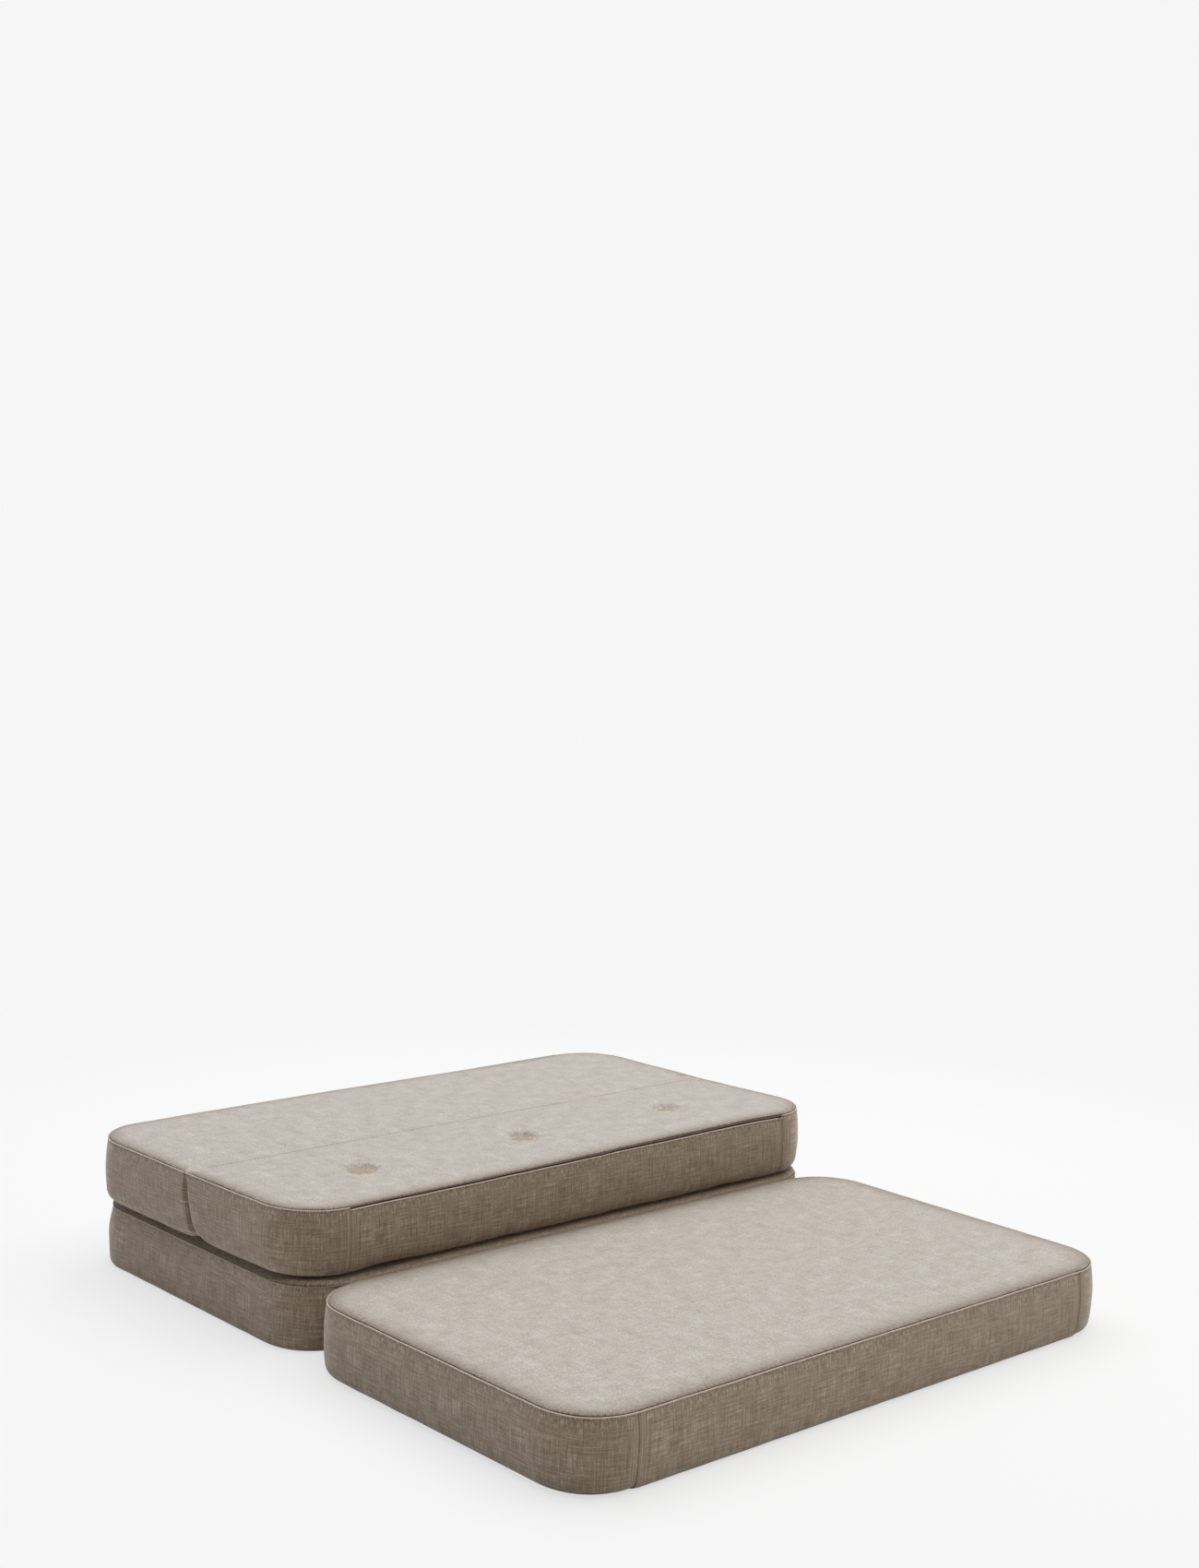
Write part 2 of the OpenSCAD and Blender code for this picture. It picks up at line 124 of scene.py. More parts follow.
SECTIONS = [
    Section("front", "front_section", -0.6795, 1, 0.67, 0.0, 0.1164,
            wider=((0.005, 0.002), (0.004, 0.004))),
    Section("base", "base_section", 0.6705, -1, 0.661, 0.0, 0.1164, crown=0.0054, sink=0.008,
            lean=0.005, swell=0.003, wider=((-0.006, -0.005), (0.003, 0.012)), full=5.0),
    Section("back_lower", "back_lower_half", 0.6651, -1, 0.3225, BACK_FOOT, 0.1153, slant=CUT_SLANT,
            cut_round=0.015, wider=((0.003, 0.001), (0.002, 0.008)), full=2.2),
    Section("back_upper", "back_upper_half", 0.0195, 1, 0.3225, BACK_FOOT, 0.1153, slant=-CUT_SLANT,
            cut_round=0.008, wider=((-0.008, 0.0), (0.012, 0.008)), full=2.2, tufts=TUFTS),
]


def marks(length, pitch, close=(), fine=()):
    """Places along a stretch, as shares of it: pitch apart, closer at the seams and tufts."""
    count = max(1, round(length / pitch))
    found = {round(k / count * length, 5) for k in range(count + 1)}
    for end in close:
        found |= {abs(end * length - d) for d in BESIDE_SEAM}
    for middle in fine:
        found |= {round(middle + k * 0.0022, 5) for k in range(-20, 21)}
    kept = []
    for place in sorted(found):
        if not kept or place - kept[-1] > 0.0005:
            kept.append(place)
    kept[-1] = length
    return [place / length for place in kept]


def stretches(section, pitch=0.006, close=True):
    """The eight stretches round a section from the left end of its zip side, as shares of each."""
    ends = (0, 1) if close else ()
    fine = [x + WIDTH / 2 - CORNER for x, v in section.tufts] if close else []
    quarter = CORNER * math.pi / 2
    long_side = marks(WIDTH - 2 * CORNER, pitch, ends, fine)
    turn = marks(quarter, pitch, (0,) if close else ())
    side = marks(section.depth - CORNER - section.far_corner(), pitch / 2 if fine else pitch)
    far_turn = [k / 5 for k in range(6)] if section.slant else marks(quarter, pitch)
    there = [long_side, turn, side, far_turn]
    back_again = [[1 - q for q in reversed(shares)] for shares in (long_side, far_turn, side, turn)]
    return there + back_again


def ring(section, spans, side_in, side_z, cut_in=None, cut_z=None):
    """Points round a section with their outward directions: side_in inside its seam line at side_z,
    and cut_in inside its cut at cut_z."""
    cut_in = side_in if cut_in is None or not section.slant else cut_in
    cut_z = side_z if cut_z is None or not section.slant else cut_z
    far = section.far_at(cut_z)
    far_r = section.far_corner(cut_z)
    near_x, near_v = WIDTH / 2 - max(CORNER, side_in), max(CORNER, side_in)
    far_x, far_v = WIDTH / 2 - max(far_r, side_in), far - max(far_r, cut_in)
    r = max(CORNER - side_in, 0)
    rx, rv = max(far_r - side_in, 0), max(far_r - cut_in, 0)
    side_x = WIDTH / 2 - side_in
    points = []

    def straight(shares, start, end, out, cut):
        for q in shares[:-1]:
            x = start[0] + (end[0] - start[0]) * q
            v = start[1] + (end[1] - start[1]) * q
            points.append((x, v, out[0], out[1], cut))

    def turn(shares, centre, radii, start, cut):
        for q in shares[:-1]:
            a = math.radians(start + 90 * q)
            nx, nv = math.cos(a), math.sin(a)
            points.append((centre[0] + radii[0] * nx, centre[1] + radii[1] * nv, nx, nv, cut(q)))

    straight(spans[0], (-near_x, side_in), (near_x, side_in), (0, -1), 0)
    turn(spans[1], (near_x, near_v), (r, r), -90, lambda q: 0)
    straight(spans[2], (side_x, near_v), (side_x, far_v), (1, 0), 0)
    turn(spans[3], (far_x, far_v), (rx, rv), 0, lambda q: q)
    straight(spans[4], (far_x, far - cut_in), (-far_x, far - cut_in), (0, 1), 1)
    turn(spans[5], (-far_x, far_v), (rx, rv), 90, lambda q: 1 - q)
    straight(spans[6], (-side_x, far_v), (-side_x, near_v), (-1, 0), 0)
    turn(spans[7], (-near_x, near_v), (r, r), 180, lambda q: 0)
    points.append(points[0])
    return [(x, v, side_z + (cut_z - side_z) * cut, nx, nv) for x, v, nx, nv, cut in points]


def sewn(section, rows, first=0, last=None, shift=None, weave=None, seams=(0, -1), painted_shade_rows=0):
    """A bmesh strip of cloth round a section, one row of points after another, with its own UV maps:
    weave in metres of cloth, and seam with the place along and the distance from the nearest seam, by
    which the cloth paints its seam shade and highlight. seams are the rows that are sewn. Faces below
    the row that the last argument gives have the second material, a dark copy of the cloth that is
    painted shade for the groove at a seam."""
    last = len(rows[0]) - 1 if last is None else last
    bm = bmesh.new()
    grid = bmesh.ops.create_grid(bm, x_segments=last - first, y_segments=len(rows) - 1, size=1)["verts"]
    along, up = [0.0], [0.0]
    seam_row, middle = rows[seams[-1]], (first + last) // 2
    for k in range(first, last):
        along.append(along[-1] + math.dist(seam_row[k][:3], seam_row[k + 1][:3]))
    for a, b in zip(rows, rows[1:]):
        up.append(up[-1] + math.dist(a[middle][:3], b[middle][:3]))
    spots = {}
    for k, vert in enumerate(grid):
        row, col = divmod(k, last - first + 1)
        x, v, z, nx, nv = rows[row][first + col]
        if shift:
            dx, dv, dz = shift(x, v, z, nx, nv, along[col], along[-1], row)
            x, v, z = x + dx, v + dv, z + dz
        vert.co = section.place(x, v, z)
        spots[vert] = (row, col)
    weave_map, seam_map = bm.loops.layers.uv.new("weave"), bm.loops.layers.uv.new("seam")
    for face in bm.faces:
        face.material_index = min(spots[vert][0] for vert in face.verts) < painted_shade_rows
        for loop in face.loops:
            row, col = spots[loop.vert]
            s, t = along[col], up[row]
            x, v, z, nx, nv = rows[row][first + col]
            loop[weave_map].uv = weave(x, v) if weave else (s, t)
            # The fold line on top isn't pinched as other seams are, nor are the base's and upright ones:
            # their distances start further out, so they get less painted seam shade and smaller puckers
            open_seam = SEAM_OPEN if section.sink else 0.0
            if weave and section.slant and nv > 0.5:
                open_seam = FOLD_OPEN
            edges = [CORNER] + [abs(t - up[sewn_row]) + open_seam for sewn_row in seams]
            # The upright seams at the strip's ends take a thin dark line of painted shade.
            if last - first < len(rows[0]) - 1:
                edges += [SEAM_OPEN + 0.9 * s, SEAM_OPEN + 0.9 * (along[-1] - s)]
            loop[seam_map].uv = (s, min(edges))
    return bm


def middle_sheet(bm, section, spans, level, lift=lambda x, v: 0.0, flip=False):
    """Closes a strip round a section with the flat or crowned middle, whose edge is the strip's last
    row at that level."""
    across, deep = spans[0], spans[2]
    far = section.far_at(level)
    grid = bmesh.ops.create_grid(bm, x_segments=len(across) - 1, y_segments=len(deep) - 1, size=1)
    for k, vert in enumerate(grid["verts"]):
        row, col = divmod(k, len(across))
        x = (2 * across[col] - 1) * STRAIGHT
        v = CORNER + (far - 2 * CORNER) * deep[row]
        vert.co = (x, v, level + lift(x, v))
    faces = {f for v in grid["verts"] for f in v.link_faces}
    weave_map, seam_map = bm.loops.layers.uv["weave"], bm.loops.layers.uv["seam"]
    for face in faces:
        for loop in face.loops:
            loop[weave_map].uv = loop.vert.co.xy
            loop[seam_map].uv = (0, CORNER)
    for vert in grid["verts"]:
        vert.co = section.place(*vert.co)
    if flip:
        bmesh.ops.reverse_faces(bm, faces=list(faces))


def added(bm, name, look, rounded=True):
    """The object that a bmesh becomes in the scene, in its material."""
    mesh = bpy.data.meshes.new(name)
    bm.to_mesh(mesh)
    bm.free()
    if rounded:
        mesh.shade_smooth()
    piece = bpy.data.objects.new(name, mesh)
    bpy.context.scene.collection.objects.link(piece)
    piece.data.materials.append(look)
    return piece


def finished(bm, section, name, look):
    """A cushion's piece, with its doubles merged and its faces outwards, on the cushion's body."""
    bmesh.ops.remove_doubles(bm, verts=bm.verts, dist=MERGE)
    if section.way < 0:
        bmesh.ops.reverse_faces(bm, faces=bm.faces)
    piece = added(bm, name, look)
    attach(piece, section.body)
    return piece


def foot(section, rise, inset=0.0):
    """The distance inside the seam line with its height, and the same for the cut, on the soft lower
    edge: rise is from 0 at the floor to 1 at its upper end."""
    a = math.radians(90 * rise)
    out = math.sin(a) ** (2 / section.full)
    down = max(0.0, math.cos(a)) ** (2 / section.full)
    side = FOOT_ROLL - (FOOT_ROLL - inset) * out, FOOT_ROLL - (FOOT_ROLL - inset) * down
    cut = CUT_ROLL - (CUT_ROLL - inset) * out, CUT_ROLL - (CUT_ROLL - inset) * down
    return (*side, *cut)


def corner_rise(section, x, v, z):
    """How far the soft lower corners beside the cut are rounded up at a point."""
    if not section.slant:
        return 0.0
    from_cut = section.far_at(z) - v - CUT_ROLL
    from_side = WIDTH / 2 - abs(x) - FOOT_ROLL
    return 0.009 * math.exp(-max(0.0, from_cut, from_side) / 0.01) * max(0.0, 1 - z / 0.045) ** 2


def uneven(section, size, x, v, z, seed=0.0):
    """A slow, fixed unevenness between -1 and 1 of a section's cloth at a point."""
    at = section.place(x, v, z) / size
    return noise.noise(at + Vector((seed, 3.7 * len(section.name), 0.0)))


def hem_wave(section, x):
    """The slow waves in which the back's straight sides hang, along them."""
    return 0.5 * uneven(section, 0.16, x, 0, 0, 2.0) + 0.5 * uneven(section, 0.055, x, 0, 0, 4.0)


def hem_rise(section, x, v, z):
    """How far the lower edge of the back's straight sides stands up in those waves at a point."""
    from_end = STRAIGHT - abs(x)
    if not section.slant or from_end <= 0:
        return 0.0
    inside = max(0.0, 1 - max(0.0, v - FOOT_ROLL) / 0.05) ** 2
    low = max(0.0, 1 - z / 0.03)
    return 0.006 * max(0.0, hem_wave(section, x)) * low * smooth(from_end / 0.02) * inside


def foam_shift(x, v, z, *rest):
    """The shift of the foam's points in the loop's section: its lower edge follows its cover's."""
    return 0.0, 0.0, corner_rise(section, x, v, z) + hem_rise(section, x, v, z)


def linear(hex_colour):
    """A colour written as on the screen, as the numbers that Blender's shaders take."""
    parts = [int(hex_colour[k:k + 2], 16) / 255 for k in (1, 3, 5)]
    return (*[c / 12.92 if c <= 0.04045 else ((c + 0.055) / 1.055) ** 2.4 for c in parts], 1.0)


def node(tree, kind, inputs=None, **settings):
    """Adds a shader node with its settings, its input values and its links."""
    made = tree.nodes.new("ShaderNode" + kind)
    for key, value in settings.items():
        setattr(made, key, value)
    for key, value in (inputs or {}).items():
        if isinstance(value, bpy.types.NodeSocket):
            tree.links.new(value, made.inputs[key])
        else:
            made.inputs[key].default_value = value
    return made


def material(name, roughness, **sockets):
    """A named material with its shader, whose plain numbers are set on the shader itself."""
    made = bpy.data.materials.new(name)
    made.use_nodes = True
    shader = made.node_tree.nodes["Principled BSDF"]
    shader.inputs["Roughness"].default_value = roughness
    for key, value in sockets.items():
        shader.inputs[key.replace("_", " ")].default_value = value
    return made, made.node_tree, shader


def clouds(tree, vector, scale, detail, **more):
    """The value of a noise texture."""
    return node(tree, "TexNoise", {"Vector": vector, "Scale": scale, "Detail": detail, **more}).outputs["Fac"]


def tinted(tree, share, colours):
    """The colour at a share of the way through two or three."""
    ramp = node(tree, "ValToRGB", {"Fac": share})
    if len(colours) == 3:
        ramp.color_ramp.elements.new(0.5)
    for stop, colour in zip(ramp.color_ramp.elements, colours):
        stop.color = colour
    return ramp.outputs["Color"]


def bumped(tree, shader, height, strength, distance):
    """Lets a height raise and sink the shader's surface."""
    bump = node(tree, "Bump", {"Height": height, "Strength": strength, "Distance": distance})
    tree.links.new(bump.outputs["Normal"], shader.inputs["Normal"])


def mottled(name, roughness, dark, pale, scale, detail, **sockets):
    """A material whose colour changes in clouds between two. Gives its tree, its shader, the place on
    the piece and the clouds too."""
    made, tree, shader = material(name, roughness, **sockets)
    spot = node(tree, "TexCoord").outputs["Object"]
    tone = clouds(tree, spot, scale, detail)
    tree.links.new(tinted(tree, tone, [linear(dark), linear(pale)]), shader.inputs["Base Color"])
    return made, tree, shader, spot, tone


# Open-celled foam: matt, faintly yellow, with cells of about a millimetre that pit its face.
foam_material, tree, shader, spot, tone = mottled(
    "polyurethane foam", 0.95, "#E6DDBB", "#F2ECD4", 14.0, 3.0, Specular_IOR_Level=0.2)
cells = node(tree, "TexVoronoi", {"Vector": spot, "Scale": 700.0})
bumped(tree, shader, cells.outputs["Distance"], 0.6, 0.0006)

for section in SECTIONS:
    spans = stretches(section, pitch=0.02, close=False)
    low, high = COVER, section.height - TOP - section.sink
    rows = [ring(section, spans, CORNER, low)]
    rows += [ring(section, spans, *foot(section, rise, COVER)) for rise in (0, 0.25, 0.5, 0.75, 1)]
    rows += [ring(section, spans, COVER, height) for height in (0.045, 0.075, high - 0.003)]
    rows += [ring(section, spans, inside, high) for inside in (COVER + 0.003, CORNER)]
    bm = sewn(section, rows, shift=foam_shift)
    middle_sheet(bm, section, spans, low, flip=True)
    middle_sheet(bm, section, spans, high)
    block = finished(bm, section, section.name + "_foam_block", foam_material)
    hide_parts(section.name + "_foam")

# The covers' sides and undersides: a melange upholstery cloth of polyester, woven plain from
# yarns of several browns. The boxing is two strips, a long one round the corners and a straight
# one with the zip, joined by two upright seams; its upper edge stands up as a thin lip at the seam.
CLOTH = 0.0014  # thickness
HEM = 0.0003  # how far the lower edge is off the floor
FOOT_STEPS, SIDE_STEPS = 8, 12  # rows of points on the lower edge and on the side above it


def maths(tree, operation, *values, **settings):
    """The result of an operation on numbers and shader values."""
    return node(tree, "Math", dict(enumerate(values)), operation=operation, **settings).outputs[0]


def vectors(tree, operation, *values):
    """The result of an operation on places."""
    return node(tree, "VectorMath", dict(enumerate(values)), operation=operation).outputs[0]


def ranged(tree, value, low, high, first, last, **settings):
    """A value from low to high, as one from first to last."""
    ends = {"Value": value, "From Min": low, "From Max": high, "To Min": first, "To Max": last}
    return node(tree, "MapRange", ends, **settings).outputs["Result"]


def between(tree, share, a, b, kind="FLOAT"):
    """The mix of two numbers or colours."""
    return node(tree, "Mix", {"Factor": share, "A": a, "B": b}, data_type=kind).outputs["Result"]


def cloth(name, colours, contrast, nap, sheen, painted_light_levels, deep="#2B1A0C"):
    """The melange weave: dark, middling and pale yarns under a nap whose fibres shine palely at a low
    angle. The levels give the brightness at distances in mm from a seam. Below 1 they are painted
    shade, mixed towards the colour deep, for the shade in a seam's groove and on a rolled edge; above 1
    they are a painted highlight, pale, for the light that a seam's lip catches."""
    made, tree, shader = material(name, 0.92, Specular_IOR_Level=0.12, Sheen_Weight=sheen,
                                  Sheen_Roughness=0.42)
    shader.inputs["Sheen Tint"].default_value = linear("#F3EFEB")
    uv = node(tree, "UVMap", uv_map="weave").outputs["UV"]
    # The real yarns are 0.7 mm apart; they are drawn 1.4 mm apart, so that they show at all
    threads = vectors(tree, "MULTIPLY", uv, (714.0, 714.0, 0.0))
    place = node(tree, "SeparateXYZ", {0: threads}).outputs
    number = node(tree, "SeparateXYZ", {0: vectors(tree, "FLOOR", threads)}).outputs
    over = maths(tree, "FLOORED_MODULO", maths(tree, "ADD", number["X"], number["Y"]), 2.0)
    # Warp and weft have darker and paler, thicker and thinner stretches, 2 mm wide and 5 cm long
    yarns = []
    for seed, scale in ((3.0, (430.0, 20.0, 0.0)), (41.0, (20.0, 430.0, 0.0))):
        where = vectors(tree, "MULTIPLY_ADD", uv, scale, (seed, seed, seed))
        yarns.append(clouds(tree, where, 1.0, 2.0, Roughness=0.75))
    yarn = between(tree, ranged(tree, over, 0.0, 1.0, 0.25, 0.75), *yarns)
    # Single dark and pale fibres, the slow mottling of a brushed cloth, and a fringe of fibres at seams
    fleck = clouds(tree, threads, 0.42, 2.0, Roughness=0.75)
    mottle = clouds(tree, uv, 34.0, 4.0, Roughness=0.72)
    mixed = between(tree, nap, yarn, fleck)
    mixed = between(tree, 0.1 + nap * 0.2, mixed, mottle)
    seam = node(tree, "UVMap", uv_map="seam").outputs["UV"]
    away = node(tree, "SeparateXYZ", {0: seam}).outputs["Y"]
    fringe = clouds(tree, vectors(tree, "MULTIPLY", seam, (560.0, 110.0, 0.0)), 1.0, 1.0)
    mixed = between(tree, ranged(tree, away, 0.003, 0.03, 0.65, 0.0), mixed, fringe)
    spread = ranged(tree, mixed, 0.5 - contrast, 0.5 + contrast, 0.0, 1.0)
    plain = tinted(tree, spread, [linear(colour) for colour in colours])
    # The curve of painted shade and painted highlight takes distances up to 60 mm and levels up to 2
    tone = node(tree, "FloatCurve", {"Value": ranged(tree, away, 0.0, 0.06, 0.0, 1.0)})
    curve = tone.mapping.curves[0]
    for distance, level in painted_light_levels[1:]:
        curve.points.new(distance / 60, level / 2)
    curve.points[0].location, curve.points[-1].location = (0, painted_light_levels[0][1] / 2), (1, 0.5)
    for point in curve.points:
        point.handle_type = "VECTOR"
    tone.mapping.update()
    level = maths(tree, "MULTIPLY", tone.outputs[0], 2.0)
    # Painted shade: below a level of 1 the colour goes towards deep, for the shade in seam grooves and on
    # rolled edges. Painted highlight: above 1 it goes towards a pale colour, for the light on seam lips.
    shade = maths(tree, "MINIMUM", level, 1.0)
    shaded = between(tree, shade, linear(deep), plain, "RGBA")
    painted_highlight = maths(tree, "SUBTRACT", level, 1.0, use_clamp=True)
    colour = between(tree, painted_highlight, shaded, linear("#D6C9B8"), "RGBA")
    tree.links.new(colour, shader.inputs["Base Color"])
    # Yarns lie over and under each other: each shows as a small ridge between two sinks. Small
    # puckers run away from each seam for 3 cm.
    ridges = []
    for axis in ("X", "Y"):
        wave = maths(tree, "SINE", maths(tree, "MULTIPLY", place[axis], math.pi))
        ridges.append(maths(tree, "ABSOLUTE", wave))
    ridge = between(tree, over, *ridges)
    pucker = clouds(tree, vectors(tree, "MULTIPLY", seam, (150.0, 26.0, 0.0)), 1.0, 2.0)
    fade = ranged(tree, away, 0.001, 0.03, 1.6, 0.0, interpolation_type="SMOOTHSTEP")
    height = maths(tree, "MULTIPLY", pucker, fade)
    for part, share in ((ridge, 0.12), (fleck, 0.5), (mottle, 1.1)):
        height = maths(tree, "MULTIPLY_ADD", part, share, height)
    bumped(tree, shader, height, 0.8, 0.001)
    return made


# The sides' cloth: painted shade in the seam's groove and in a thin line 5 mm below it, and a painted
# highlight on the lip from 1.5 to 4.2 mm. Its colours are darker than the top's partly as painted shade for
# sides that face away from the light above.
side_cloth = cloth("melange polyester cloth", ("#625242", "#A08E7A", "#D6C9B8"), 0.18, 0.22, 0.6,
                   [(0, 0.4), (1.1, 0.45), (1.5, 1.75), (4.2, 1.75), (4.8, 0.66), (6.0, 0.92), (9, 1)])


def bulged(section, ends_rise=0.0):
    """The shift of a side's points: the side swells between its seams, is a little uneven, and is
    drawn in at the upright seams, where its lower edge may rise."""
    def shift(x, v, z, nx, nv, s, length, row):
        share = min(1.0, max(0.0, z / section.seam_z))
        flat = section.slant and nv > 0.5
        out = (0.0 if flat else section.swell) * math.sin(math.pi * share ** 1.15) ** 0.75
        out -= section.lean * smooth((share - 0.55) / 0.45)
        out += 0.0009 * uneven(section, 0.11, x, v, z) * math.sin(math.pi * max(share, 0.12))
        out += 0.0004 * uneven(section, 0.03, x, v, z, 5.0)
        near_end = min(s, length - s)
        out -= 0.0008 * math.exp(-near_end / 0.0009)
        rise = ends_rise * math.exp(-near_end / 0.025) * max(0.0, 1 - z / 0.04)
        rise += corner_rise(section, x, v, z)
        return nx * out, nv * out, rise + 0.0006 * uneven(section, 0.05, x, v, 0.0, 9.0)
    return shift


def side_rows(section, spans, profile):
    """Rows of a side from its lower edge upwards, ending in a profile: metres inside the seam line
    and above it."""
    rows = [ring(section, spans, FOOT_ROLL + 0.0012, 0.0012, CUT_ROLL + 0.0012, 0.0012)]
    for k in range(FOOT_STEPS + 1):
        side_in, side_z, cut_in, cut_z = foot(section, k / FOOT_STEPS)
        rows.append(ring(section, spans, side_in, side_z + HEM, cut_in, cut_z + HEM))
    top = section.seam_z + profile[0][1] - 0.004
    for k in range(1, SIDE_STEPS + 1):
        rows.append(ring(section, spans, 0.0, FOOT_ROLL + (top - FOOT_ROLL) * k / SIDE_STEPS))
    return rows + [ring(section, spans, inside, section.seam_z + up) for inside, up in profile]


# The lip at a seam is a fold of the cloth that stands 1 mm proud
LIP = [(-0.0001, -0.0062), (0.0003, -0.005), (0.0004, -0.0042), (0.0, -0.0034), (-0.0008, -0.0027),
       (-0.0012, -0.0019), (-0.0011, -0.0011), (-0.0006, -0.0006), (0.0001, -0.0005),
       (0.0008, -0.0009), (0.0014, -0.0018)]

for section in SECTIONS:
    spans = stretches(section)
    rows = side_rows(section, spans, LIP)
    swell = bulged(section, 0.0 if section.zip_in_side else 0.002)
    strip = sewn(section, rows, first=len(spans[0]) - 1, shift=swell)
    boxing = finished(strip, section, section.name + "_boxing", side_cloth)
    boxing.modifiers.new("cloth thickness", "SOLIDIFY").thickness = CLOTH
    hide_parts(section.name + "_side_band")

# The straight boxing strip. In the front and base sections it runs down under the edge, where the
# zip is, and is held a little off the floor. In the back halves the zip is just under the top
# seam, so the strip ends in a fold under the zip, and a narrow folded lip lies over it.
ZIP_Z = 0.23  # height of the back's zips
ZIP_LAG = 0.27  # the share of the upper back's rise that its zip doesn't follow
# The fold under the zip and the lip over it, in metres inside the seam line and above it
UNDER_ZIP = [(0.0001, -0.0096), (0.0, -0.0078), (-0.0004, -0.0066), (-0.001, -0.0056),
             (-0.0011, -0.0048), (-0.0006, -0.0042), (0.0004, -0.004), (0.0014, -0.0044),
             (0.0019, -0.0052)]
OVER_ZIP = [(0.0024, -0.001), (0.0019, -0.0016), (0.001, -0.002), (0.0002, -0.0019),
            (-0.0002, -0.0014), (-0.0002, -0.0009), (0.0002, -0.0006), (0.0008, -0.0009),
            (0.0014, -0.0018)]


def zip_drop(section, x):
    """How far, as a negative height, the upper back's zip lies below its usual place: it is straighter
    than the seam above, which rises towards the right."""
    return ZIP_LAG * min(0.0, sunk(x, section.near, ZIP_Z)) if section.zip_in_side else 0.0


def zip_side(x, v, z, nx, nv, s, length, row):
    """The shift of the straight strip's points in the loop's section."""
    dx, dv, dz = swell(x, v, z, nx, nv, s, length, row)
    near_end = min(s, length - s)
    # The seam's turned-in edges lie under this strip, and stand out beside the upright seams
    dv -= 0.0007 * math.exp(-((near_end - 0.003) / 0.0013) ** 2)
    if not section.zip_in_side:
        # The strip's lower edge is squarer than the corners', and hangs a little lower
        if row > 0 and z < FOOT_ROLL:
            deep = min(1.0, max(0.0, 1 - (z - HEM) / FOOT_ROLL))
            squarer = max(0.0, v - FOOT_ROLL * (1 - (1 - deep ** 4) ** 0.25))
            dv -= squarer * smooth(near_end / 0.008)
        return dx, dv, max(dz, 0.0) if z < 0.03 else dz
    near_zip = math.exp(-abs(z - section.seam_z + 0.003) / 0.012)
    below_seam = min(1.0, max(0.0, (section.seam_z - 0.0008 - z) / 0.0008))
    dz += zip_drop(section, x) * smooth(z / section.seam_z) * below_seam
    return dx, dv, dz + 0.0007 * hem_wave(section, x) * near_zip + hem_rise(section, x, v, z)


for section in SECTIONS:
    spans = stretches(section)
    zip_end = len(spans[0]) - 1
    swell = bulged(section)
    if section.zip_in_side:
        rows = side_rows(section, spans, UNDER_ZIP)
        lip_rows = [ring(section, spans, inside, section.seam_z + up) for inside, up in OVER_ZIP]
        # Every row of the lip over the zip counts as sewn, so the whole lip takes the darkest painted seam
        # shade, for the shade over the zip's opening.
        strips = [sewn(section, rows, last=zip_end, shift=zip_side, seams=(0, -2)),
                  sewn(section, lip_rows, last=zip_end, shift=zip_side, seams=range(9))]
    else:
        rows = side_rows(section, spans, LIP)
        strips = [sewn(section, rows, last=zip_end, shift=zip_side)]
    joined = bmesh.new()
    for strip in strips:
        part = bpy.data.meshes.new("part")
        strip.to_mesh(part)
        strip.free()
        joined.from_mesh(part)
        bpy.data.meshes.remove(part)
    panel = finished(joined, section, section.name + "_zip_boxing", side_cloth)
    panel.modifiers.new("cloth thickness", "SOLIDIFY").thickness = CLOTH
    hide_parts(section.name + "_zip_panel")

# The undersides: one cut of the same cloth, sewn to the boxing's lower edge. In the front and base
# sections it stops short of the straight strip, which leaves the slot for the zip.
# Its rows, in metres inside the seam line and above its level
UNDER_ROWS = [(CORNER, 0), (0.084, 0), (0.07, 0), (0.057, 0), (0.046, 0), (0.037, 0), (0.0305, 0),
              (0.0265, 0), (0.0245, 0.0002), (0.0235, 0.0007), (0.0232, 0.0016)]
UNDER_Z = 0.0002
CUT_FROM = 0.04  # nearer to the edge the rows close up towards the cut
SLOT = 0.004  # how far it stops short


def slot_edge(x, v, z, nx, nv, s, length, row):
    """The shift of an underside's points in the loop's section: it leaves the slot, or follows the
    back's lower edge."""
    if section.zip_in_side or nv > -0.999 or abs(x) > STRAIGHT:
        return 0.0, 0.0, corner_rise(section, x, v, z) + hem_rise(section, x, v, z)
    ends = min(1.0, (STRAIGHT - abs(x)) / SLOT)
    near = max(0.0, 1 - (v - FOOT_ROLL) / 0.03)
    return 0.0, SLOT * ends * near, 0.0012 * ends * near


def straight_weave(x, v):
    """The threads of a cloth that lies flat run straight across it."""
    return x, v


for section in SECTIONS:
    spans = stretches(section)
    rows = []
    for d, z in UNDER_ROWS:
        cut = d
        if d <= CUT_FROM:
            cut = d - (FOOT_ROLL - CUT_ROLL) * (CUT_FROM - d) / (CUT_FROM - UNDER_ROWS[-1][0])
        rows.append(ring(section, spans, d, z + UNDER_Z, cut))
    bm = sewn(section, rows, shift=slot_edge, weave=straight_weave, seams=(-1,))
    middle_sheet(bm, section, spans, UNDER_Z, flip=True)
    under = finished(bm, section, section.name + "_underside", side_cloth)
    under.modifiers.new("cloth thickness", "SOLIDIFY").thickness = CLOTH
    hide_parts(section.name + "_bottom_cover")

